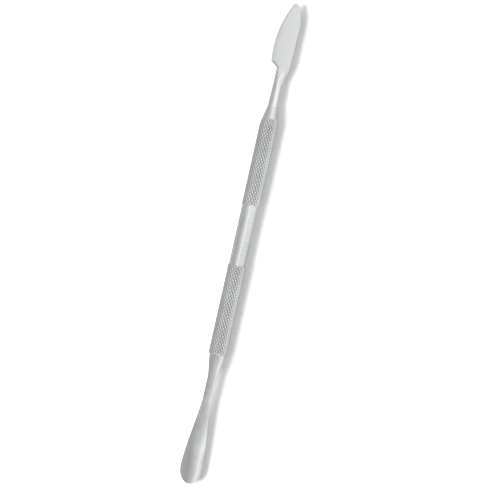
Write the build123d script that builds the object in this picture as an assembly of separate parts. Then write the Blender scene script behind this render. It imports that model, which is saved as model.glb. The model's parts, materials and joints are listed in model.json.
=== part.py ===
from build123d import *
from math import cos, radians, sin, sqrt
import os

os.makedirs("parts", exist_ok=True)

# Double-ended cuticle pusher, lying flat, in millimetres.
# X runs along the handle towards the knife, Y is sideways, Z is up.
# The origin is on the handle axis, in the middle of the plain band.

# ---- Handle: one turned bar with two knurled bands ----
bar_diameter = 4.74
knurl_rise = 0.15           # the knurl's crests stand this far above the plain band
plain_band_length = 16.6
knurl_length = 25.0
nose_length = 5.05          # cone from the knurled band down to the knife neck
nose_knurl_overlap = 2.5    # how far the knurl runs out onto the cone
nose_land = 0.03            # the nose's face stands this far outside the knife's root
end_chamfer = 0.12
band_edge = 0.12            # bevel at each inner end of a knurled band

# ---- Brazed joints ----
tang_clearance = 0.03       # radial gap that the braze wets
knife_bore_diameter = 1.8
pusher_bore_diameter = 2.6
tang_length = 10.0
bore_end_gap = 0.4
mouth_depth = 0.28          # countersink that holds the filler ring

# ---- Knife ----
knife_neck_diameter = 2.66
knife_root_flare = 0.14     # the neck is this much larger in radius where it leaves the nose
knife_root_slope = -0.04    # slope of the neck's outline there
knife_neck_length = 12.35   # nose face to the heel corner of the blade
blade_length = 17.55        # heel corner to the point, before the point is rounded
heel_width = 3.22           # handle axis to the heel corner
belly_radius = 28.5         # curve of the cutting edge
back_width = 2.52           # handle axis to the back of the blade
back_radius = 13.0          # curve of the back near the point
back_bend = 8.0             # point to where the back starts to curve
back_taper = 0.26           # how much nearer the axis the back is at its foot
back_foot = 0.3             # heel corner to the foot of the back
back_flare_length = 7.6     # how far the back runs down into the neck
point_offset = 0.13         # the point sits this far towards the back
point_radius = 0.85
heel_radius = 0.35
notch_length = 1.45         # heel corner to the foot of the heel face
blade_thickness = 1.9       # at the notch
point_thickness = 0.56
upper_bevel_width = 1.3
upper_bevel_depth = 0.08
lower_bevel_width = 1.6     # the edge is ground mostly from below
lower_bevel_depth = 0.4
ramp_radius = 10.0          # hollow that thins the round neck into the flat blade

# ---- Pusher ----
shoulder_side_ledge = 0.42  # the bar's end stands out past the pusher's root at the sides
shoulder_back_ledge = 0.67  # the same above and below
pusher_neck_width = 2.6
pusher_neck_thickness = 1.9
neck_crown = 0.20           # how far the neck's arched back falls towards its sides
root_crown = 0.5            # the same where the neck leaves the bar
root_taper_length = 6.6
spoon_start = 12.6          # shoulder to where the neck starts to widen
spoon_widest_at = 31.4      # shoulder to the widest point
pusher_length = 36.0        # shoulder to the end of the spoon
spoon_width = 6.4
spoon_bow = 0.15            # the spoon bows this far towards +Y along its middle
crown_radius = 5.5
spoon_thickness = 0.9
rim_thickness = 0.45
spoon_lift = 1.8            # the rim's height above the plane that the handle lies on
rim_rounding = 0.12         # how far the rounded rim stands out past the back
side_rounding = 0.10        # the same on the neck

# ---- Sections that the pusher is lofted through ----
root_steps = 3              # from the shoulder to the end of the root's taper
widening_steps = 7          # from where the neck starts to widen to the widest point
tip_angles = (8, 28, 45, 59, 70, 79, 86)    # degrees round the spoon's end, from the widest point

# ---- Sizes and places that follow from those above ----
bar_radius = bar_diameter / 2
knurl_radius = bar_radius + knurl_rise
band_half = plain_band_length / 2
rest_height = -knurl_radius             # plane that the tool lies on
shoulder_x = -(band_half + knurl_length)
cone_start_x = band_half + knurl_length - nose_knurl_overlap
nose_x = cone_start_x + nose_length
neck_radius = knife_neck_diameter / 2
knife_root_radius = neck_radius + knife_root_flare
nose_face_radius = knife_root_radius + nose_land
pusher_root_half = knurl_radius - shoulder_side_ledge
root_top = knurl_radius - shoulder_back_ledge
overrun = 0.1               # how far a hidden face or a cutting shape runs past its neighbour


def blend(start, end, share):
    """Smooth step from start to end as share goes from 0 to 1."""
    share = min(max(share, 0.0), 1.0)
    return start + (end - start) * share * share * (3 - 2 * share)


def revolved(points):
    """Solid of revolution about X from a closed outline of (x, radius) points."""
    return revolve(make_face(Polyline(*points, close=True)), axis=Axis.X)


# ---- Joints ----
def bore(face_x, inward, diameter):
    """Blind hole with a countersunk mouth, from an end face inwards."""
    radius = diameter / 2
    end_x = face_x + inward * (tang_length + bore_end_gap)
    return revolved([
        (face_x, 0),
        (face_x, radius + mouth_depth),
        (face_x + inward * mouth_depth, radius),
        (end_x, radius),
        (end_x, 0),
    ])


def tang(face_x, inward, diameter):
    """Pin that fits a bore, from the joint face inwards."""
    radius = diameter / 2 - tang_clearance
    end_x = face_x + inward * tang_length
    return revolved([
        (face_x, 0),
        (face_x, radius),
        (end_x - inward * mouth_depth, radius),
        (end_x, radius - mouth_depth),
        (end_x, 0),
    ])


def braze_ring(face_x, inward, diameter):
    """Filler that fills the countersink round a tang."""
    radius = diameter / 2
    tang_radius = radius - tang_clearance
    return revolved([
        (face_x, tang_radius),
        (face_x, radius + mouth_depth),
        (face_x + inward * mouth_depth, radius),
        (face_x + inward * mouth_depth, tang_radius),
    ])


# ---- Handle ----
def make_handle():
    bar = revolved([
        (shoulder_x, 0),
        (shoulder_x, knurl_radius - end_chamfer),
        (shoulder_x + end_chamfer, knurl_radius),
        (-band_half - band_edge, knurl_radius),
        (-band_half, bar_radius),
        (band_half, bar_radius),
        (band_half + band_edge, knurl_radius),
        (cone_start_x, knurl_radius),
        (nose_x, nose_face_radius),
        (nose_x, 0),
    ])
    bar -= bore(nose_x, -1, knife_bore_diameter)
    bar -= bore(shoulder_x, 1, pusher_bore_diameter)
    return bar


# ---- Knife ----
heel_x = nose_x + knife_neck_length
notch_x = heel_x - notch_length
point_x = heel_x + blade_length
half_blade = blade_thickness / 2
half_point = point_thickness / 2
root_half = sqrt(neck_radius**2 - half_blade**2) - overrun / 2  # stays hidden inside the round neck


def blade_outline():
    """Blade from above, belly at +Y and back at -Y, with a sharp point and heel."""
    heel = (heel_x, heel_width)
    point = (point_x, -point_offset)
    bend = (point_x - back_bend, -back_width)
    foot = (heel_x - back_foot, -back_width + back_taper)
    flare_end = (heel_x - back_foot - back_flare_length, -root_half)
    back_slope = back_taper / (bend[0] - foot[0])
    belly = RadiusArc(heel, point, belly_radius)
    back_arc = RadiusArc(point, bend, back_radius)
    back_line = Line(bend, foot)
    flare = Spline(foot, flare_end, tangents=[(-1, back_slope), (-1, 0)])
    root = Polyline(flare_end, (flare_end[0], root_half), (notch_x - overrun, root_half), heel)
    return make_face(belly + back_arc + back_line + flare + root)


def taper_profile():
    """Side view of the flat blade, thinner towards the point."""
    start_x = notch_x - back_flare_length
    return make_face(Polyline(
        (start_x, half_blade),
        (notch_x, half_blade),
        (point_x, half_point),
        (point_x, -half_point),
        (notch_x, -half_blade),
        (start_x, -half_blade),
        close=True,
    ))


def ramp_profile():
    """Side view of the neck: round bar, then a hollow ramp down to the blade."""
    clear = knife_root_radius + overrun
    rise = clear - half_blade
    run = sqrt(2 * ramp_radius * rise - rise**2)
    half_run = run / 2
    mid_rise = ramp_radius - sqrt(ramp_radius**2 - half_run**2)
    start_x = nose_x - overrun
    ramp_x = notch_x - run
    top = ThreePointArc(
        (ramp_x, clear),
        (notch_x - half_run, half_blade + mid_rise),
        (notch_x, half_blade),
    )
    bottom = ThreePointArc(
        (notch_x, -half_blade),
        (notch_x - half_run, -half_blade - mid_rise),
        (ramp_x, -clear),
    )
    front = Line((notch_x, half_blade), (notch_x, -half_blade))
    rear = Polyline((ramp_x, -clear), (start_x, -clear), (start_x, clear), (ramp_x, clear))
    return make_face(top + front + bottom + rear)


def side_extrude(profile):
    """Stand an X-Z side view up and extrude it both ways along Y."""
    upright = Plane.XZ * profile
    return extrude(upright, amount=2 * heel_width, both=True)


def make_blade():
    sharp = blade_outline()
    point = sharp.vertices().sort_by(Axis.X)[-1]
    heel = sharp.vertices().sort_by(Axis.Y)[-1]
    rounded = fillet(point, point_radius)
    heel = rounded.vertices().sort_by_distance((heel.X, heel.Y, 0))[0]
    rounded = fillet(heel, heel_radius)
    blade = extrude(sharp, amount=blade_thickness, both=True) & side_extrude(taper_profile())
    belly = blade.faces().filter_by(GeomType.CYLINDER).sort_by(SortBy.AREA)[-1]
    upper_edge = belly.edges().sort_by(SortBy.LENGTH)[-2:].sort_by(Axis.Z)[-1]
    blade = chamfer(upper_edge, upper_bevel_depth, upper_bevel_width, reference=belly)
    belly = blade.faces().filter_by(GeomType.CYLINDER).sort_by(SortBy.AREA)[-1]
    lower_edge = belly.edges().sort_by(SortBy.LENGTH)[-2:].sort_by(Axis.Z)[0]
    blade = chamfer(lower_edge, lower_bevel_depth, lower_bevel_width, reference=belly)
    return blade & extrude(rounded, amount=blade_thickness, both=True)


def make_knife_tip():
    waist_x = nose_x + knife_neck_length / 2
    flare = Spline(
        (nose_x, knife_root_radius),
        (waist_x, neck_radius),
        tangents=[(1, knife_root_slope), (1, 0)],
    )
    neck_rest = Polyline(
        (waist_x, neck_radius),
        (notch_x, neck_radius),
        (notch_x, 0),
        (nose_x, 0),
        (nose_x, knife_root_radius),
    )
    neck = revolve(make_face(flare + neck_rest), axis=Axis.X)
    neck = neck & side_extrude(ramp_profile())
    return neck + make_blade() + tang(nose_x, -1, knife_bore_diameter)


# ---- Pusher ----
spoon_half = spoon_width / 2
tip_reach = pusher_length - spoon_widest_at


def crown(half_width):
    """Height of the arched back above its edges."""
    return crown_radius - sqrt(crown_radius**2 - half_width**2)


# The back runs down in a straight line, and the rim clears the rest plane at its widest point.
fall = root_top - rest_height - crown(spoon_half) - rim_thickness - spoon_lift
descent = fall / spoon_widest_at


def section(half_width, rounding, edge_top, edge_bottom, top, bottom):
    """Closed outline across the pusher: arched back, rounded sides and underside."""
    side = half_width - rounding
    middle = (edge_top + edge_bottom) / 2
    back = ThreePointArc((-side, edge_top), (0, top), (side, edge_top))
    left = ThreePointArc((side, edge_top), (half_width, middle), (side, edge_bottom))
    under = ThreePointArc((side, edge_bottom), (0, bottom), (-side, edge_bottom))
    right = ThreePointArc((-side, edge_bottom), (-half_width, middle), (-side, edge_top))
    return make_face(back + left + under + right)


def pusher_section(along, half_width):
    """Section at a distance from the shoulder: flattened neck that turns into a spoon."""
    spoon_share = (along - spoon_start) / (spoon_widest_at - spoon_start)
    tip_share = (along - spoon_widest_at) / tip_reach
    top = root_top - descent * along
    neck_thickness = blend(2 * root_top, pusher_neck_thickness, along / root_taper_length)
    neck_drop = blend(root_crown, neck_crown, along / root_taper_length)
    neck = (side_rounding, -neck_drop, neck_drop - neck_thickness, -neck_thickness)

    edge = -crown(half_width)
    middle_thickness = blend(spoon_thickness, rim_thickness, tip_share)
    spoon = (rim_rounding, edge, edge - rim_thickness, -middle_thickness)

    mixed = [blend(a, b, spoon_share) for a, b in zip(neck, spoon)]
    rounding, edge_top, edge_bottom, bottom = mixed
    outline = section(half_width, rounding, top + edge_top, top + edge_bottom, top, top + bottom)
    bow = spoon_bow * sin(radians(180 * min(max(spoon_share, 0), 1)))
    return Plane.YZ.offset(shoulder_x - along) * Pos(bow, 0) * outline


def make_pusher_tip():
    sections = []
    for step in range(root_steps + 1):
        share = step / root_steps
        along = root_taper_length * share
        half_width = blend(pusher_root_half, pusher_neck_width / 2, share)
        sections.append(pusher_section(along, half_width))
    neck_middle = (root_taper_length + spoon_start) / 2
    sections.append(pusher_section(neck_middle, pusher_neck_width / 2))
    for step in range(widening_steps):
        share = step / widening_steps
        along = spoon_start + (spoon_widest_at - spoon_start) * share
        width_share = (share + blend(0, 1, share)) / 2
        width = pusher_neck_width + (spoon_width - pusher_neck_width) * width_share
        sections.append(pusher_section(along, width / 2))
    for angle in tip_angles:
        along = spoon_widest_at + tip_reach * sin(radians(angle))
        half_width = spoon_half * cos(radians(angle))
        sections.append(pusher_section(along, half_width))
    return loft(sections) + tang(shoulder_x, 1, pusher_bore_diameter)


def write(node, solid):
    export_step(solid, f"parts/{node}.step")


write("handle", make_handle())
write("knife_tip", make_knife_tip())
write("pusher_tip", make_pusher_tip())
write("knife_braze_ring", braze_ring(nose_x, -1, knife_bore_diameter))
write("pusher_braze_ring", braze_ring(shoulder_x, 1, pusher_bore_diameter))
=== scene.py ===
import json
import math

import bpy
import numpy as np
from mathutils import Matrix, Vector


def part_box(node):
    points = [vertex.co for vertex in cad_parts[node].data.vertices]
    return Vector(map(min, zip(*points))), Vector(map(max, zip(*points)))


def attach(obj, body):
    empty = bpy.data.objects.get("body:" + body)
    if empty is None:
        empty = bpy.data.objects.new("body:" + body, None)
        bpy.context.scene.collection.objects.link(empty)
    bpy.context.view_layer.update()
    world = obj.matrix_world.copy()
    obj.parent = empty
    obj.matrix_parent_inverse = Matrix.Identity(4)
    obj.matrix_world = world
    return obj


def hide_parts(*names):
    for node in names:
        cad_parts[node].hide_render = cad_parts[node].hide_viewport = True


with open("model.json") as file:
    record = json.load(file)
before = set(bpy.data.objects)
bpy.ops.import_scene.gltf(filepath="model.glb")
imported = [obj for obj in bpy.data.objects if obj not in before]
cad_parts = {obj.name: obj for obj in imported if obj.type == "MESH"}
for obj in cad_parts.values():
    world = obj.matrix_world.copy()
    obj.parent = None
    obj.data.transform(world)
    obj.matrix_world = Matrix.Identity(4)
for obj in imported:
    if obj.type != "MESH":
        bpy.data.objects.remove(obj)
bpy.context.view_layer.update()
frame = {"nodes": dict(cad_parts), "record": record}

# Double-ended cuticle pusher on a pale studio floor.  Sizes are in millimetres, as in the CAD model,
# and each mesh is scaled to metres when it is made.  X runs along the handle towards the knife.
MM = 0.001

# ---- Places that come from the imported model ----
handle_low, handle_high = (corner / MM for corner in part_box("handle"))
pusher_low, pusher_high = (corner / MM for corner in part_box("pusher_tip"))
knife_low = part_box("knife_tip")[0] / MM
band = next(m for m in frame["record"]["mounts"] if m["name"] == "plain_band")

SHOULDER_X = handle_low.x
NOSE_X = handle_high.x
CREST_RADIUS = handle_high.z
BAND_RADIUS = band["dims"]["r_mm"]
BAND_HALF = band["dims"]["length_mm"] / 2
FLOOR_Z = handle_low.z
KNURL_END = -SHOULDER_X                 # the two knurled bands are equally long
TANG_LENGTH = NOSE_X - knife_low.x      # both tangs are equally long

# ---- Handle ----
KNURL_STARTS = 18                       # grooves each way round the bar
KNURL_PITCH = 1.42                      # along the bar, from one diamond's point to the next
KNURL_STEPS = 10                        # mesh steps over one diamond
KNURL_DEPTH = 0.17
KNURL_FADE = 0.3                        # the grooves run out over this length at a band's ends
RUN_OUT = 1.2                           # the same where the knurl ends on the cone
CREST_FLAT = 0.50                       # share of a diamond's half width that stays flat on top
CONE_START = NOSE_X - 5.05
CONE_SATIN = 0.8                        # how dull the cone is, from 0 to 1
CONE_SATIN_LENGTH = 1.5                 # the dull finish comes in over this length
END_CHAMFER = 0.12
NOSE_FACE_RADIUS = 1.5
NOSE_CHAMFER = 0.05
KNURL_TO_CONE = 0.1                     # last knurled ring to the first plain one on the cone
BAND_RINGS = 24
CONE_RINGS = 12

# ---- Joints ----
TANG_CLEARANCE = 0.03
KNIFE_BORE_RADIUS = 0.9
PUSHER_BORE_RADIUS = 1.3
BORE_END_GAP = 0.4
MOUTH_DEPTH = 0.28                      # countersink of a bore, and chamfer of a tang's end

# ---- Knife ----
KNIFE_NECK_RADIUS = 1.33
KNIFE_ROOT_RADIUS = 1.47
KNIFE_NECK_LENGTH = 12.35               # nose face to the heel corner
BLADE_LENGTH = 17.55                    # heel corner to the point, before the point is rounded
HEEL_WIDTH = 3.22                       # handle axis to the heel corner
HEEL_BLEND = 0.3                        # soft change from the heel face to the belly
BELLY_RADIUS = 28.5
BACK_WIDTH = 2.52                       # handle axis to the back of the blade
BACK_RADIUS = 13.0
BACK_BEND = 8.0                         # point to where the back starts to curve
BACK_TAPER = 0.26                       # how much nearer the axis the back is at its foot
BACK_FOOT = 0.3                         # heel corner to the foot of the back
BACK_FLARE_LENGTH = 7.6                 # how far the back runs down into the neck
FLARE_ROOT = 0.88                       # half width of the flat there, hidden inside the neck
POINT_OFFSET = 0.13
POINT_RADIUS = 0.85
NOTCH_LENGTH = 1.45                     # heel corner to the foot of the heel face
HALF_BLADE = 0.95                       # half thickness at the notch
HALF_POINT = 0.28
RAMP_RADIUS = 10.0                      # hollow from the round neck down to the flat blade
RAMP_LENGTH = 3.0                       # stretch before the notch with closer rings
SIDE_SOFTNESS = 0.25                    # soft change from the ramp to the neck's round side
SIDE_SOFTNESS_LEAST = 0.1               # share of it that is left where the ramp starts
SIDE_SOFTNESS_DEPTH = 0.2               # the ramp's depth where the change is fully soft
PLATE_CROWN_RADIUS = 60.0               # the flats are very slightly arched
BEVEL_AT_HEEL = 1.35                    # width of the ground bevel, which narrows towards the point
BEVEL_AT_POINT = 0.5
UPPER_BEVEL_DEPTH = 0.08
LOWER_BEVEL_DEPTH = 0.4
LOWER_BEVEL_SPREAD = 1.6                # the lower bevel is wider than the upper one
EDGE_ROUND = 0.1
BACK_ROUND = 0.2
HEEL_ROUND = 0.6                        # soft edge of the heel face
HEEL_ROUND_END = 0.2                    # past the heel corner, it has narrowed to the edge's own
GROUND_DEPTH = 0.08                     # depth below the round neck at which the finish is fully dull
GROUND_MARGIN = 0.01                    # a flat this far outside the round neck is ground too
SLOPE_STEP = 0.05                       # half the step over which an outline's slope is taken
KNIFE_COLUMNS = 160
KNIFE_END_GAP = 0.004                   # last ring to the end of the point
KNIFE_TIP_GAP = 0.002                   # closing vertex to the end of the point

HEEL_X = NOSE_X + KNIFE_NECK_LENGTH
NOTCH_X = HEEL_X - NOTCH_LENGTH
POINT_X = HEEL_X + BLADE_LENGTH
BEND_X = POINT_X - BACK_BEND
FOOT_X = HEEL_X - BACK_FOOT
FOOT_Y = -BACK_WIDTH + BACK_TAPER

# ---- Pusher ----
ROOT_HALF = 2.1
ROOT_TOP = 1.85
ROOT_CROWN = 0.5                        # how far the arched back falls towards its sides, at the bar
ROOT_TAPER_LENGTH = 6.6
PUSHER_NECK_WIDTH = 2.6
PUSHER_NECK_THICKNESS = 1.9
NECK_CROWN = 0.20
SIDE_ROUNDING = 0.10
SPOON_START = 12.6                      # shoulder to where the neck starts to widen
SPOON_WIDEST_AT = 31.4                  # shoulder to the widest point
PUSHER_LENGTH = 36.0                    # shoulder to the end of the spoon
SPOON_WIDTH = 6.4
SPOON_BOW = 0.15                        # the spoon bows this far towards +Y along its middle
CROWN_RADIUS = 5.5
SPOON_THICKNESS = 0.9
RIM_THICKNESS = 0.45
RIM_ROUNDING = 0.12
SPOON_LIFT = 1.8                        # the rim's height above the floor at the widest point
BACK_COLUMNS = 44
SIDE_COLUMNS = 18
SPOON_END_GAP = 0.01                    # last ring to the end of the spoon
SPOON_TIP_GAP = 0.004                   # closing vertex to the end of the spoon

SPOON_HALF = SPOON_WIDTH / 2
TIP_REACH = PUSHER_LENGTH - SPOON_WIDEST_AT


# ---- Curves ----
def blend(start, end, share):
    """Smooth step from start to end as share goes from 0 to 1."""
    share = min(max(share, 0.0), 1.0)
    return start + (end - start) * share * share * (3 - 2 * share)


def between(x, xs, ys):
    """Straight-line change from one y to the next, held level past both ends."""
    return float(np.interp(x, xs, ys))


def soft_min(a, b, softness):
    """The smaller of two values, with a rounded change from one to the other."""
    share = min(max(0.5 + (b - a) / (2 * softness), 0.0), 1.0)
    return b + (a - b) * share - softness * share * (1 - share)


def spaced(start, end, count):
    """Evenly spaced stations, without the last one."""
    return list(np.linspace(start, end, count, endpoint=False))


def eased(start, end, count):
    """Stations that crowd together towards the end."""
    turns = np.linspace(0, math.pi / 2, count)
    return [start + (end - start) * math.sin(turn) for turn in turns]


def arc_centre(start, end, radius):
    """Centre of the arc from start to end that bulges to the left of that direction."""
    start, end = np.array(start), np.array(end)
    chord = end - start
    half = np.linalg.norm(chord) / 2
    left = np.array([-chord[1], chord[0]]) / (2 * half)
    return (start + end) / 2 - left * math.sqrt(radius**2 - half**2)


def arc_points(start, middle, end, count):
    """Points on the arc through three points, without the last one."""
    a, b, c = (complex(*point) for point in (start, middle, end))
    turned = (b - a).real * (c - a).imag - (b - a).imag * (c - a).real
    if abs(turned) < 1e-9:
        return [a + (c - a) * share / count for share in range(count)]
    to_b, to_c = abs(b - a) ** 2, abs(c - a) ** 2
    centre = a - 1j * ((c - a) * to_b - (b - a) * to_c) / (2 * turned)
    turn = np.angle((c - centre) / (a - centre))
    if turn * turned < 0:
        turn += math.copysign(2 * math.pi, turned)
    return [centre + (a - centre) * np.exp(1j * turn * share / count) for share in range(count)]


def circle_side(x, centre, radius, side):
    """Height of a circle's upper (side 1) or lower (side -1) half at x."""
    return centre[1] + side * math.sqrt(max(radius**2 - (x - centre[0]) ** 2, 0.0))


def rounded_edge(inset, height, radius):
    """Height of a flat with a quarter round along its edge, at a distance in from the edge."""
    radius = min(radius, height)
    if inset >= radius:
        return height
    return height - radius + math.sqrt(max(radius**2 - (radius - inset) ** 2, 0.0))


# ---- Mesh tools ----
def ring_faces(ring_count, columns, knurl_rows):
    """Faces between neighbouring rings, with a knurled row's quads split along its grooves."""
    faces = []
    for row in range(ring_count - 1):
        phase = knurl_rows.get(row)
        for column in range(columns):
            a = row * columns + column
            b = row * columns + (column + 1) % columns
            c = b + columns
            d = a + columns
            if phase is not None and (column + phase + 1) % KNURL_STEPS == 0:
                faces += [(a, b, d), (b, c, d)]
            elif phase is not None and (column - phase) % KNURL_STEPS == 0:
                faces += [(a, b, c), (a, c, d)]
            else:
                faces.append((a, b, c, d))
    return faces


def tube_mesh(name, rings, first_tip, last_tip, knurl_rows=None):
    """Closed skin over rings of points, with a fan to a tip point at each end.

    knurl_rows gives the knurl's phase for the numbers of the rings that are knurled."""
    rings = np.asarray(rings, float)
    ring_count, columns = rings.shape[:2]
    points = np.vstack([rings.reshape(-1, 3), [first_tip], [last_tip]]) * MM
    faces = ring_faces(ring_count, columns, knurl_rows or {})
    first, last = len(points) - 2, len(points) - 1
    end_ring = (ring_count - 1) * columns
    for column in range(columns):
        after = (column + 1) % columns
        faces.append((first, after, column))
        faces.append((last, end_ring + column, end_ring + after))
    mesh = bpy.data.meshes.new(name)
    mesh.from_pydata(points.tolist(), [], faces)
    mesh.validate()
    mesh.shade_smooth()
    mesh.set_sharp_from_angle(angle=math.radians(28))
    return mesh


def tang_rings(end_x, face_x, radius, turns):
    """Chamfered end and side of a tang, up to the joint face."""
    inward = math.copysign(1, end_x - face_x)
    rings = []
    for x, size in (
        (end_x, radius - MOUTH_DEPTH),
        (end_x - inward * MOUTH_DEPTH, radius),
        (face_x, radius),
    ):
        rings.append([(x, size * math.cos(turn), size * math.sin(turn)) for turn in turns])
    return rings


def add_point_value(mesh, name, values):
    """One number per vertex, which a material can read."""
    attribute = mesh.attributes.new(name, "FLOAT", "POINT")
    attribute.data.foreach_set("value", np.asarray(values, np.float32))


def add_piece(name, mesh, node, material):
    """Puts a mesh in the scene in place of its CAD node."""
    piece = bpy.data.objects.new(name, mesh)
    bpy.context.scene.collection.objects.link(piece)
    mesh.materials.append(material)
    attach(piece, "root")
    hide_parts(node)
    return piece


# ---- Handle mesh ----
# A row of the handle is (x, radius, groove depth, phase on the knurl or None).
def groove_depth(column, phase, full_depth):
    """Depth of the two crossing sets of V grooves at one point of the knurl's grid."""
    across = []
    for place in (column + phase, column - phase):
        share = (place / KNURL_STEPS) % 1.0
        across.append(min(share, 1 - share) * 2)
    rise = min(min(across) / (1 - CREST_FLAT), 1.0)
    return full_depth * (1 - rise)


def crest_radius(x):
    """Outside of the knurled bands, then the cone down to the nose's face."""
    return between(x, (CONE_START, NOSE_X), (CREST_RADIUS, NOSE_FACE_RADIUS))


def plain_rows(points):
    return [(x, radius, 0.0, None) for x, radius in points]


def bore_points(face_x, inward, radius):
    """Countersunk bore, from its bottom out to the end face."""
    return [
        (face_x + inward * (TANG_LENGTH + BORE_END_GAP), radius),
        (face_x + inward * MOUTH_DEPTH, radius),
        (face_x, radius + MOUTH_DEPTH),
    ]


def knurled_rows(start, end, end_fade):
    """The knurl's grid, with its grooves running out at both ends."""
    step = KNURL_PITCH / KNURL_STEPS
    rows = []
    for phase in range(int((end - start) / step) + 1):
        x = start + step * phase
        fade_in = blend(0, 1, (x - start) / KNURL_FADE)
        fade_out = blend(0, 1, (end - x) / end_fade)
        rows.append((x, crest_radius(x), KNURL_DEPTH * fade_in * fade_out, phase))
    return rows


def handle_rows():
    """From the bottom of the pusher's bore, along the outside, to the bottom of the knife's bore."""
    rows = plain_rows(bore_points(SHOULDER_X, 1, PUSHER_BORE_RADIUS))
    rows += plain_rows([(SHOULDER_X, CREST_RADIUS - END_CHAMFER)])
    rows += knurled_rows(SHOULDER_X + END_CHAMFER, -BAND_HALF - END_CHAMFER, KNURL_FADE)
    band_stations = np.linspace(-BAND_HALF, BAND_HALF, BAND_RINGS)
    rows += plain_rows((x, BAND_RADIUS) for x in band_stations)
    rows += knurled_rows(BAND_HALF + END_CHAMFER, KNURL_END, RUN_OUT)
    cone_stations = np.linspace(KNURL_END + KNURL_TO_CONE, NOSE_X - NOSE_CHAMFER, CONE_RINGS)
    rows += plain_rows((x, crest_radius(x)) for x in cone_stations)
    rows += plain_rows([(NOSE_X, NOSE_FACE_RADIUS - NOSE_CHAMFER)])
    rows += plain_rows(reversed(bore_points(NOSE_X, -1, KNIFE_BORE_RADIUS)))
    return rows


def make_handle_mesh():
    columns = KNURL_STARTS * KNURL_STEPS
    turns = np.arange(columns) * 2 * math.pi / columns
    rows = handle_rows()
    rings, grooves, satin, knurl_rows = [], [], [], {}
    for number, (x, radius, depth, phase) in enumerate(rows):
        cuts = np.zeros(columns)
        if phase is not None:
            knurl_rows[number] = phase
            cuts = np.array([groove_depth(column, phase, depth) for column in range(columns)])
        radii = radius - cuts
        ring = (np.full(columns, x), radii * np.cos(turns), radii * np.sin(turns))
        rings.append(np.column_stack(ring))
        grooves.extend(cuts / KNURL_DEPTH)
        satin.extend([blend(0, CONE_SATIN, (x - CONE_START) / CONE_SATIN_LENGTH)] * columns)
    first_tip = (rows[0][0], 0, 0)
    last_tip = (rows[-1][0], 0, 0)
    mesh = tube_mesh("handle_skin", rings, first_tip, last_tip, knurl_rows)
    add_point_value(mesh, "groove", grooves + [0.0, 0.0])
    add_point_value(mesh, "satin", satin + [0.0, 0.0])
    return mesh


# ---- Knife outline ----
POINT = (POINT_X, -POINT_OFFSET)
BELLY_CENTRE = arc_centre((HEEL_X, HEEL_WIDTH), POINT, BELLY_RADIUS)
BACK_CENTRE = arc_centre(POINT, (BEND_X, -BACK_WIDTH), BACK_RADIUS)


def tip_circle():
    """Centre of the small circle that rounds the point, tangent to the belly and the back."""
    gap = BACK_CENTRE - BELLY_CENTRE
    distance = np.linalg.norm(gap)
    reach_belly = BELLY_RADIUS - POINT_RADIUS
    reach_back = BACK_RADIUS - POINT_RADIUS
    along = (distance**2 + reach_belly**2 - reach_back**2) / (2 * distance)
    aside = math.sqrt(reach_belly**2 - along**2)
    unit = gap / distance
    normal = np.array([-unit[1], unit[0]])
    options = [BELLY_CENTRE + unit * along + normal * side * aside for side in (1, -1)]
    return max(options, key=lambda centre: centre[0])


TIP_CENTRE = tip_circle()
TIP_X = TIP_CENTRE[0] + POINT_RADIUS


def touch_x(centre):
    """Where the tip circle meets an outline arc with this centre."""
    away = TIP_CENTRE - centre
    return TIP_CENTRE[0] + POINT_RADIUS * away[0] / np.linalg.norm(away)


BELLY_TOUCH = touch_x(BELLY_CENTRE)
BACK_TOUCH = touch_x(BACK_CENTRE)


def neck_radius(x):
    waist = NOSE_X + KNIFE_NECK_LENGTH / 2
    return blend(KNIFE_ROOT_RADIUS, KNIFE_NECK_RADIUS, (x - NOSE_X) / (waist - NOSE_X))


def belly_edge(x):
    """Outline on the cutting side."""
    if x <= NOTCH_X:
        return neck_radius(x)
    if x >= BELLY_TOUCH:
        return circle_side(x, TIP_CENTRE, POINT_RADIUS, 1)
    belly = circle_side(x, BELLY_CENTRE, BELLY_RADIUS, 1)
    rise = (HEEL_WIDTH - KNIFE_NECK_RADIUS) / (HEEL_X - NOTCH_X)
    heel = KNIFE_NECK_RADIUS + rise * (x - NOTCH_X)
    return soft_min(heel, belly, HEEL_BLEND)


def flare_edge(x):
    """Outline of the flat that runs down into the neck."""
    return blend(-FLARE_ROOT, FOOT_Y, (x - FOOT_X + BACK_FLARE_LENGTH) / BACK_FLARE_LENGTH)


def back_edge(x):
    """Outline on the blunt side."""
    if x >= BACK_TOUCH:
        return circle_side(x, TIP_CENTRE, POINT_RADIUS, -1)
    if x >= BEND_X:
        return circle_side(x, BACK_CENTRE, BACK_RADIUS, -1)
    if x >= FOOT_X:
        return between(x, (FOOT_X, BEND_X), (FOOT_Y, -BACK_WIDTH))
    return min(-neck_radius(x), flare_edge(x))


# ---- Knife thickness ----
def half_thickness(x):
    """Half thickness at the middle: hollow ramp from the round neck, then the blade's taper."""
    if x >= NOTCH_X:
        return between(x, (NOTCH_X, POINT_X), (HALF_BLADE, HALF_POINT))
    reach = NOTCH_X - x
    return HALF_BLADE + RAMP_RADIUS - math.sqrt(max(RAMP_RADIUS**2 - reach**2, 0.0))


def round_height(x, y):
    """Height of the round neck at a distance from its axis."""
    return math.sqrt(max(neck_radius(x) ** 2 - y**2, 0.0))


def bevel_cut(x, flat, from_belly, side):
    """How much the ground bevel takes off the flat."""
    width = between(x, (HEEL_X, TIP_X), (BEVEL_AT_HEEL, BEVEL_AT_POINT))
    depth = UPPER_BEVEL_DEPTH
    if side < 0:
        width, depth = width * LOWER_BEVEL_SPREAD, min(LOWER_BEVEL_DEPTH, flat)
    depth *= blend(0, 1, (x - NOTCH_X) / NOTCH_LENGTH)
    return depth * max(1 - from_belly / width, 0)


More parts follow.
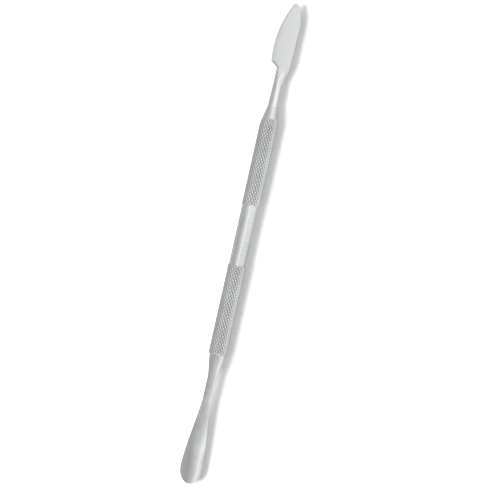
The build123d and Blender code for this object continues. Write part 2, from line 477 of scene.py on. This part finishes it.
def plate_height(x, y, flat, side):
    """Height of the blade, with its bevel and rounded edges."""
    belly_slope = (belly_edge(x + SLOPE_STEP) - belly_edge(x - SLOPE_STEP)) / (2 * SLOPE_STEP)
    from_belly = max(belly_edge(x) - y, 0) / math.hypot(1, belly_slope)
    from_back = max(y - back_edge(x), 0)
    ground = flat - bevel_cut(x, flat, from_belly, side)
    heel_share = blend(1, 0, (x - HEEL_X) / HEEL_ROUND_END)
    belly_round = EDGE_ROUND + (HEEL_ROUND - EDGE_ROUND) * heel_share
    on_belly = rounded_edge(from_belly, ground, belly_round)
    on_back = rounded_edge(from_back, flat, BACK_ROUND)
    return min(on_belly, on_back)


def neck_height(x, y, flat, ramp):
    """Height of the neck, where the ramp cuts it and the flat runs down its blunt side."""
    cut = neck_radius(x) - half_thickness(x)
    softness = SIDE_SOFTNESS * blend(SIDE_SOFTNESS_LEAST, 1, cut / SIDE_SOFTNESS_DEPTH)
    from_flare = y - flare_edge(x)
    flange = rounded_edge(from_flare, flat, BACK_ROUND) if y < 0 < from_flare else 0.0
    return max(soft_min(round_height(x, y), ramp, softness), flange)


def blade_height(x, y, side):
    """Height of the knife's upper (side 1) or lower (side -1) face at a point of its outline."""
    thick = half_thickness(x)
    fall = y**2 / (2 * PLATE_CROWN_RADIUS)
    flat = min(thick, HALF_BLADE) - fall
    if x > NOTCH_X:
        return side * plate_height(x, y, flat, side)
    return side * neck_height(x, y, flat, thick - fall)


def ground_share(x, y, z):
    """1 on the ground flats, 0 on the polished round neck."""
    if x >= NOTCH_X or abs(z) > round_height(x, y) + GROUND_MARGIN:
        return 1.0
    return blend(0, 1, (round_height(x, y) - half_thickness(x)) / GROUND_DEPTH)


def knife_section(x, turns):
    belly, back = belly_edge(x), back_edge(x)
    middle, half = (belly + back) / 2, (belly - back) / 2
    ring = []
    for turn in turns:
        y = middle + half * math.cos(turn)
        ring.append((x, y, blade_height(x, y, math.copysign(1, math.sin(turn)))))
    return ring


def make_knife_mesh():
    turns = [2 * math.pi * (column + 0.5) / KNIFE_COLUMNS for column in range(KNIFE_COLUMNS)]
    stations = [NOSE_X] + spaced(NOSE_X + 0.02, NOTCH_X - RAMP_LENGTH, 30)
    stations += spaced(NOTCH_X - RAMP_LENGTH, NOTCH_X - 0.3, 50)
    stations += spaced(NOTCH_X - 0.3, HEEL_X + 0.6, 48)
    stations += spaced(HEEL_X + 0.6, BACK_TOUCH, 90)
    stations += eased(BACK_TOUCH, TIP_X - KNIFE_END_GAP, 26)
    rings = tang_rings(knife_low.x, NOSE_X, KNIFE_BORE_RADIUS - TANG_CLEARANCE, turns)
    rings += [knife_section(x, turns) for x in stations]
    end_y = (belly_edge(stations[-1]) + back_edge(stations[-1])) / 2
    last_tip = (TIP_X - KNIFE_TIP_GAP, end_y, 0)
    mesh = tube_mesh("knife_skin", rings, (knife_low.x, 0, 0), last_tip)
    satin = [ground_share(x, y, z) for ring in rings for x, y, z in ring]
    add_point_value(mesh, "satin", satin + [0.0, 1.0])
    return mesh


# ---- Pusher mesh ----
def crown(half_width):
    """Height of the arched back above its edges."""
    return CROWN_RADIUS - math.sqrt(CROWN_RADIUS**2 - half_width**2)


# The back runs down in a straight line, and the rim clears the floor at its widest point.
FALL = ROOT_TOP - FLOOR_Z - crown(SPOON_HALF) - RIM_THICKNESS - SPOON_LIFT
DESCENT = FALL / SPOON_WIDEST_AT


def pusher_half_width(along):
    if along <= ROOT_TAPER_LENGTH:
        return blend(ROOT_HALF, PUSHER_NECK_WIDTH / 2, along / ROOT_TAPER_LENGTH)
    if along <= SPOON_START:
        return PUSHER_NECK_WIDTH / 2
    if along <= SPOON_WIDEST_AT:
        share = (along - SPOON_START) / (SPOON_WIDEST_AT - SPOON_START)
        width_share = (share + blend(0, 1, share)) / 2
        return (PUSHER_NECK_WIDTH + (SPOON_WIDTH - PUSHER_NECK_WIDTH) * width_share) / 2
    reach = (along - SPOON_WIDEST_AT) / TIP_REACH
    return SPOON_HALF * math.sqrt(max(1 - reach**2, 0.0))


def pusher_ring(along):
    """Section at a distance from the shoulder: flattened neck that turns into a spoon."""
    half_width = pusher_half_width(along)
    spoon_share = (along - SPOON_START) / (SPOON_WIDEST_AT - SPOON_START)
    tip_share = (along - SPOON_WIDEST_AT) / TIP_REACH
    top = ROOT_TOP - DESCENT * along

    taper = along / ROOT_TAPER_LENGTH
    neck_thickness = blend(2 * ROOT_TOP, PUSHER_NECK_THICKNESS, taper)
    neck_drop = blend(ROOT_CROWN, NECK_CROWN, taper)
    neck = (SIDE_ROUNDING, -neck_drop, neck_drop - neck_thickness, -neck_thickness)

    edge = -crown(half_width)
    middle_thickness = blend(SPOON_THICKNESS, RIM_THICKNESS, tip_share)
    spoon = (min(RIM_ROUNDING, half_width / 2), edge, edge - RIM_THICKNESS, -middle_thickness)
    mixed = [blend(a, b, spoon_share) for a, b in zip(neck, spoon)]
    rounding, edge_top, edge_bottom, bottom = mixed

    side = half_width - rounding
    middle = (edge_top + edge_bottom) / 2
    outline = arc_points((-side, edge_top), (0, 0), (side, edge_top), BACK_COLUMNS)
    outline += arc_points((side, edge_top), (half_width, middle), (side, edge_bottom), SIDE_COLUMNS)
    outline += arc_points((side, edge_bottom), (0, bottom), (-side, edge_bottom), BACK_COLUMNS)
    outline += arc_points((-side, edge_bottom), (-half_width, middle), (-side, edge_top), SIDE_COLUMNS)
    bow = SPOON_BOW * math.sin(math.pi * min(max(spoon_share, 0), 1))
    return [(SHOULDER_X - along, point.real + bow, point.imag + top) for point in outline]


def make_pusher_mesh():
    stations = [0.0] + spaced(0.05, ROOT_TAPER_LENGTH, 40)
    stations += spaced(ROOT_TAPER_LENGTH, SPOON_START, 16)
    stations += spaced(SPOON_START, SPOON_WIDEST_AT, 90)
    stations += eased(SPOON_WIDEST_AT, SHOULDER_X - pusher_low.x - SPOON_END_GAP, 40)
    body = [pusher_ring(along) for along in stations]
    turns = [math.atan2(z, y) for _, y, z in np.array(body[0]) - np.mean(body[0], axis=0)]
    rings = tang_rings(pusher_high.x, SHOULDER_X, PUSHER_BORE_RADIUS - TANG_CLEARANCE, turns)
    rings += body
    last_tip = np.mean(rings[-1], axis=0)
    last_tip[0] = pusher_low.x + SPOON_TIP_GAP
    return tube_mesh("pusher_skin", rings, (pusher_high.x, 0, 0), last_tip)


# ---- Materials ----
NOISE_RANGE = (0.3, 0.7)                # most of a noise's values lie between these
TONE_RANGE = (0.38, 0.62)               # the same for the mean of two noises
SPECKLE_WAVES = 4200                    # per metre
CLOUD_WAVES = 160
CLOUD_ROUGHNESS = 0.03                  # roughness that the soft clouding adds or takes away
# colour that the steel takes on towards the bottom of a knurl's grooves, which makes them darker
GROOVE_COLOUR = (0.50, 0.505, 0.51)
GROOVE_COLOUR_RANGE = (0.15, 0.9)       # shares of the groove's depth between which the colour changes
GROOVE_ROUGH_RANGE = (0.1, 0.9)         # the same for the roughness
GROOVE_ROUGHNESS = 0.25                 # extra roughness at the bottom of a groove
SATIN_COLOUR = (0.66, 0.665, 0.67)
SATIN_TINT = 0.5                        # share of the satin colour on the ground flats
SATIN_ROUGHNESS = 0.25                  # extra roughness of the ground flats
GRAIN_BUMP = 0.6
SPECKLE_BUMP = 0.5


def new_material(name):
    material = bpy.data.materials.new(name)
    material.use_nodes = True
    nodes = material.node_tree.nodes
    nodes.clear()
    output = nodes.new("ShaderNodeOutputMaterial")
    shader = nodes.new("ShaderNodeBsdfPrincipled")
    material.node_tree.links.new(shader.outputs["BSDF"], output.inputs["Surface"])
    return material, material.node_tree, shader


def noise(tree, waves, stretch=(1, 1, 1), detail=3, roughness=0.55):
    """Noise in object space, in waves per metre, with a stretch for each axis."""
    place = tree.nodes.new("ShaderNodeTexCoord")
    mapping = tree.nodes.new("ShaderNodeMapping")
    mapping.inputs["Scale"].default_value = [waves * share for share in stretch]
    texture = tree.nodes.new("ShaderNodeTexNoise")
    texture.inputs["Scale"].default_value = 1.0
    texture.inputs["Detail"].default_value = detail
    texture.inputs["Roughness"].default_value = roughness
    tree.links.new(place.outputs["Object"], mapping.inputs["Vector"])
    tree.links.new(mapping.outputs["Vector"], texture.inputs["Vector"])
    return texture.outputs["Fac"]


def ranged(tree, value, to_range, from_range=NOISE_RANGE):
    """Takes a value from one range to another."""
    node = tree.nodes.new("ShaderNodeMapRange")
    node.inputs["From Min"].default_value, node.inputs["From Max"].default_value = from_range
    node.inputs["To Min"].default_value, node.inputs["To Max"].default_value = to_range
    tree.links.new(value, node.inputs["Value"])
    return node.outputs["Result"]


def math_node(tree, operation, first, second):
    """Sum, product or other operation on two values, each a number or another node's output."""
    node = tree.nodes.new("ShaderNodeMath")
    node.operation = operation
    for socket, value in zip(node.inputs, (first, second)):
        if isinstance(value, (int, float)):
            socket.default_value = value
        else:
            tree.links.new(value, socket)
    return node.outputs["Value"]


def mixed_colour(tree, share, first, second):
    """Mix of two colours, each one a plain colour or another node's output."""
    node = tree.nodes.new("ShaderNodeMix")
    node.data_type = "RGBA"
    for socket, colour in ((node.inputs["A"], first), (node.inputs["B"], second)):
        if isinstance(colour, tuple):
            socket.default_value = (*colour, 1)
        else:
            tree.links.new(colour, socket)
    tree.links.new(share, node.inputs["Factor"])
    return node.outputs["Result"]


def bump(tree, height, distance, strength, under=None):
    """Surface normal for a height, on top of another bump's normal."""
    node = tree.nodes.new("ShaderNodeBump")
    node.inputs["Strength"].default_value = strength
    node.inputs["Distance"].default_value = distance
    tree.links.new(height, node.inputs["Height"])
    if under is not None:
        tree.links.new(under, node.inputs["Normal"])
    return node.outputs["Normal"]


def point_value(tree, name):
    """The number that add_point_value gave to the mesh, or 0 where it has none."""
    node = tree.nodes.new("ShaderNodeAttribute")
    node.attribute_name = name
    return node.outputs["Fac"]


def steel(name, dark, light, roughness, grain, grain_stretch, grain_depth, speckle_depth):
    """Stainless steel with directional grain, fine speckle and soft clouding.

    A mesh may carry "groove" and "satin" values from 0 to 1, which tint and dull the steel; "groove"
    makes it darker and rougher towards the bottom of a knurl's groove."""
    material, tree, shader = new_material(name)
    links = tree.links
    lines = noise(tree, grain, grain_stretch, detail=5, roughness=0.65)
    speckle = noise(tree, SPECKLE_WAVES)
    clouds = noise(tree, CLOUD_WAVES)
    half_lines = math_node(tree, "MULTIPLY", lines, 0.5)
    half_clouds = math_node(tree, "MULTIPLY", clouds, 0.5)
    tone = math_node(tree, "ADD", half_lines, half_clouds)
    colour = mixed_colour(tree, ranged(tree, tone, (0, 1), TONE_RANGE), dark, light)
    cloud_change = ranged(tree, clouds, (-CLOUD_ROUGHNESS, CLOUD_ROUGHNESS))
    rough = math_node(tree, "ADD", ranged(tree, lines, roughness), cloud_change)

    # darker colour and more roughness towards the bottom of a knurl's grooves
    groove = point_value(tree, "groove")
    groove_tint = ranged(tree, groove, (0, 1), GROOVE_COLOUR_RANGE)
    colour = mixed_colour(tree, groove_tint, colour, GROOVE_COLOUR)
    groove_change = ranged(tree, groove, (0, GROOVE_ROUGHNESS), GROOVE_ROUGH_RANGE)
    rough = math_node(tree, "ADD", rough, groove_change)

    satin = point_value(tree, "satin")
    colour = mixed_colour(tree, math_node(tree, "MULTIPLY", satin, SATIN_TINT), colour, SATIN_COLOUR)
    rough = math_node(tree, "ADD", rough, math_node(tree, "MULTIPLY", satin, SATIN_ROUGHNESS))

    links.new(colour, shader.inputs["Base Color"])
    links.new(rough, shader.inputs["Roughness"])
    shader.inputs["Metallic"].default_value = 1.0
    normal = bump(tree, lines, grain_depth * MM, GRAIN_BUMP)
    normal = bump(tree, speckle, speckle_depth * MM, SPECKLE_BUMP, under=normal)
    links.new(normal, shader.inputs["Normal"])
    return material


BAR_STEEL = steel(
    "bar_steel_satin",
    dark=(0.62, 0.625, 0.63),
    light=(0.80, 0.80, 0.80),
    roughness=(0.10, 0.17),
    grain=9000,
    grain_stretch=(1, 0.04, 0.04),
    grain_depth=0.004,
    speckle_depth=0.002,
)
# Brushed steel whose colour is set darker than the bar's steel, which paints in part of the shade that
# falls on the pusher's neck and spoon
PUSHER_STEEL = steel(
    "pusher_steel_brushed_painted_shade",
    dark=(0.60, 0.605, 0.61),
    light=(0.72, 0.72, 0.725),
    roughness=(0.13, 0.20),
    grain=6000,
    grain_stretch=(0.06, 1, 1),
    grain_depth=0.004,
    speckle_depth=0.003,
)
BLADE_STEEL = steel(
    "blade_steel_polished",
    dark=(0.72, 0.725, 0.73),
    light=(0.78, 0.78, 0.78),
    roughness=(0.08, 0.13),
    grain=7000,
    grain_stretch=(0.05, 1, 1),
    grain_depth=0.0012,
    speckle_depth=0.0008,
)
BRAZE = steel(
    "braze_dull",
    dark=(0.42, 0.40, 0.36),
    light=(0.60, 0.57, 0.52),
    roughness=(0.4, 0.55),
    grain=5000,
    grain_stretch=(1, 1, 1),
    grain_depth=0.006,
    speckle_depth=0.004,
)

# ---- Pieces ----
add_piece("handle_bar", make_handle_mesh(), "handle", BAR_STEEL)
add_piece("nail_knife", make_knife_mesh(), "knife_tip", BLADE_STEEL)
add_piece("spoon_pusher", make_pusher_mesh(), "pusher_tip", PUSHER_STEEL)
for ring_name in ("knife_braze_ring", "pusher_braze_ring"):
    ring = frame["nodes"][ring_name]
    ring.data.materials.clear()
    ring.data.materials.append(BRAZE)

# ---- Floor ----
FLOOR_HALF_M = 2.5
FLOOR_CELLS = 8
PAPER_WAVES = 900
PAPER_DARK = (0.69, 0.69, 0.695)
PAPER_LIGHT = (0.72, 0.72, 0.72)


def floor_material():
    """Pale matt paper with a faint mottle."""
    material, tree, shader = new_material("floor_paper")
    tone = ranged(tree, noise(tree, PAPER_WAVES), (0, 1))
    colour = mixed_colour(tree, tone, PAPER_DARK, PAPER_LIGHT)
    tree.links.new(colour, shader.inputs["Base Color"])
    shader.inputs["Roughness"].default_value = 0.9
    shader.inputs["Specular IOR Level"].default_value = 0.0
    return material


def make_floor():
    """Flat sheet that the steel doesn't reflect."""
    ticks = np.linspace(-FLOOR_HALF_M, FLOOR_HALF_M, FLOOR_CELLS + 1)
    points = [(x, y, FLOOR_Z * MM) for y in ticks for x in ticks]
    faces = []
    for row in range(FLOOR_CELLS):
        for column in range(FLOOR_CELLS):
            corner = row * (FLOOR_CELLS + 1) + column
            above = corner + FLOOR_CELLS + 1
            faces.append((corner, corner + 1, above + 1, above))
    mesh = bpy.data.meshes.new("studio_floor")
    mesh.from_pydata(points, [], faces)
    mesh.materials.append(floor_material())
    floor = bpy.data.objects.new("studio_floor", mesh)
    bpy.context.scene.collection.objects.link(floor)
    floor.visible_glossy = False


make_floor()

# ---- Surroundings ----
# Degrees from straight up, towards the camera's right, and the brightness there.
HANDLE_TONES = (
    (-180, 0.62), (-117, 0.66), (-95, 0.61), (-77, 0.55), (-61, 0.58), (-46, 0.72), (-32, 0.87),
    (-18, 1.05), (-8, 1.26), (-1, 1.62), (6, 1.22), (14, 0.97), (24, 0.90), (45, 0.93), (70, 1.12),
    (84, 0.98), (99, 0.68), (122, 0.62), (180, 0.62),
)
KNIFE_TONES = (
    (-180, 0.60), (-110, 0.60), (-76, 0.57), (-50, 0.58), (-32, 0.72), (-18, 0.90), (-4, 1.06),
    (10, 1.24), (22, 1.34), (34, 1.28), (50, 1.10), (76, 0.82), (100, 0.68), (120, 0.62), (180, 0.60),
)
PUSHER_TONES = (
    (-180, 0.60), (-90, 0.59), (-50, 0.58), (-28, 0.47), (-14, 0.55), (0, 0.63), (10, 0.75),
    (20, 0.92), (28, 1.12), (36, 1.30), (46, 1.18), (56, 0.93), (66, 0.68), (90, 0.58), (180, 0.60),
)
KNIFE_SIDE = (0.01, 0.04)               # directions' X between which the knife's tones come in
PUSHER_SIDE = (-0.055, -0.02)           # the same for the pusher's tones, which are full at the first
WORLD_TINT = (0.985, 0.995, 1.0)        # very slightly cool


def tone_ramp(tree, turn, tones):
    """Colour ramp over a full turn, from (degrees, level) pairs."""
    ramp = tree.nodes.new("ShaderNodeValToRGB")
    tree.links.new(turn, ramp.inputs["Fac"])
    stops = ramp.color_ramp.elements
    stops.remove(stops[1])
    for degrees, level in tones:
        stop = stops.new(degrees / 360 + 0.5)
        stop.color = (*(level * tint for tint in WORLD_TINT), 1)
    stops.remove(stops[0])
    return ramp.outputs["Color"]


def make_world():
    """Soft studio surroundings: a bright band overhead, a paler right side and a darker left side.

    The band lies further to the right towards the two ends of the tool."""
    world = bpy.data.worlds.new("studio")
    bpy.context.scene.world = world
    world.use_nodes = True
    tree = world.node_tree
    tree.nodes.clear()
    output = tree.nodes.new("ShaderNodeOutputWorld")
    background = tree.nodes.new("ShaderNodeBackground")
    place = tree.nodes.new("ShaderNodeTexCoord")
    split = tree.nodes.new("ShaderNodeSeparateXYZ")
    tree.links.new(place.outputs["Generated"], split.inputs["Vector"])
    right = math_node(tree, "MULTIPLY", split.outputs["Y"], -1.0)
    angle = math_node(tree, "ARCTAN2", right, split.outputs["Z"])
    turn = ranged(tree, angle, (0, 1), (-math.pi, math.pi))
    to_knife = ranged(tree, split.outputs["X"], (0, 1), KNIFE_SIDE)
    to_pusher = ranged(tree, split.outputs["X"], (1, 0), PUSHER_SIDE)
    colour = tone_ramp(tree, turn, HANDLE_TONES)
    colour = mixed_colour(tree, to_knife, colour, tone_ramp(tree, turn, KNIFE_TONES))
    colour = mixed_colour(tree, to_pusher, colour, tone_ramp(tree, turn, PUSHER_TONES))
    tree.links.new(colour, background.inputs["Color"])
    tree.links.new(background.outputs["Background"], output.inputs["Surface"])


make_world()

# ---- Camera and key light ----
# The camera looks straight down, turned so that the tool leans to the right in the view.
VIEW_UP = Vector((0.9758, 0.2188, 0))
VIEW_RIGHT = Vector((0.2188, -0.9758, 0))
VIEW_WIDTH = 133.04                     # across the view, at the height of the handle's axis
VIEW_CENTRE = Vector((-2.23, -0.50, 0))
CAMERA_HEIGHT = 2000.0
SENSOR_WIDTH = 36.0
CLIP_START_M = 0.1
CLIP_END_M = 20.0

KEY_ELEVATION = math.radians(46)
KEY_TURN = math.radians(8)              # from straight left in the view, towards its lower edge
KEY_DISTANCE_M = 0.7
KEY_SIZE_M = 0.5
KEY_WATTS = 12.0


def add_key_light():
    """Large soft key from the left, which throws the short shadow on the right."""
    flat = -VIEW_RIGHT * math.cos(KEY_TURN) - VIEW_UP * math.sin(KEY_TURN)
    towards = flat * math.cos(KEY_ELEVATION) + Vector((0, 0, math.sin(KEY_ELEVATION)))
    light = bpy.data.lights.new("key", "AREA")
    light.shape = "DISK"
    light.size = KEY_SIZE_M
    light.energy = KEY_WATTS
    lamp = bpy.data.objects.new("key", light)
    bpy.context.scene.collection.objects.link(lamp)
    lamp.location = towards * KEY_DISTANCE_M
    lamp.rotation_mode = "QUATERNION"
    lamp.rotation_quaternion = towards.to_track_quat("Z", "Y")
    lamp.visible_glossy = False


def add_camera():
    """Camera straight above the tool."""
    data = bpy.data.cameras.new("camera")
    data.sensor_width = SENSOR_WIDTH
    data.lens = SENSOR_WIDTH * CAMERA_HEIGHT / VIEW_WIDTH
    data.clip_start = CLIP_START_M
    data.clip_end = CLIP_END_M
    camera = bpy.data.objects.new("camera", data)
    bpy.context.scene.collection.objects.link(camera)
    place = (VIEW_CENTRE + Vector((0, 0, CAMERA_HEIGHT))) * MM
    turned = Matrix((
        (VIEW_RIGHT.x, VIEW_UP.x, 0, 0),
        (VIEW_RIGHT.y, VIEW_UP.y, 0, 0),
        (0, 0, 1, 0),
        (0, 0, 0, 1),
    ))
    camera.matrix_world = Matrix.Translation(place) @ turned
    bpy.context.scene.camera = camera


add_key_light()
add_camera()
bpy.context.scene.view_settings.view_transform = "Standard"
bpy.context.scene.view_settings.look = "None"
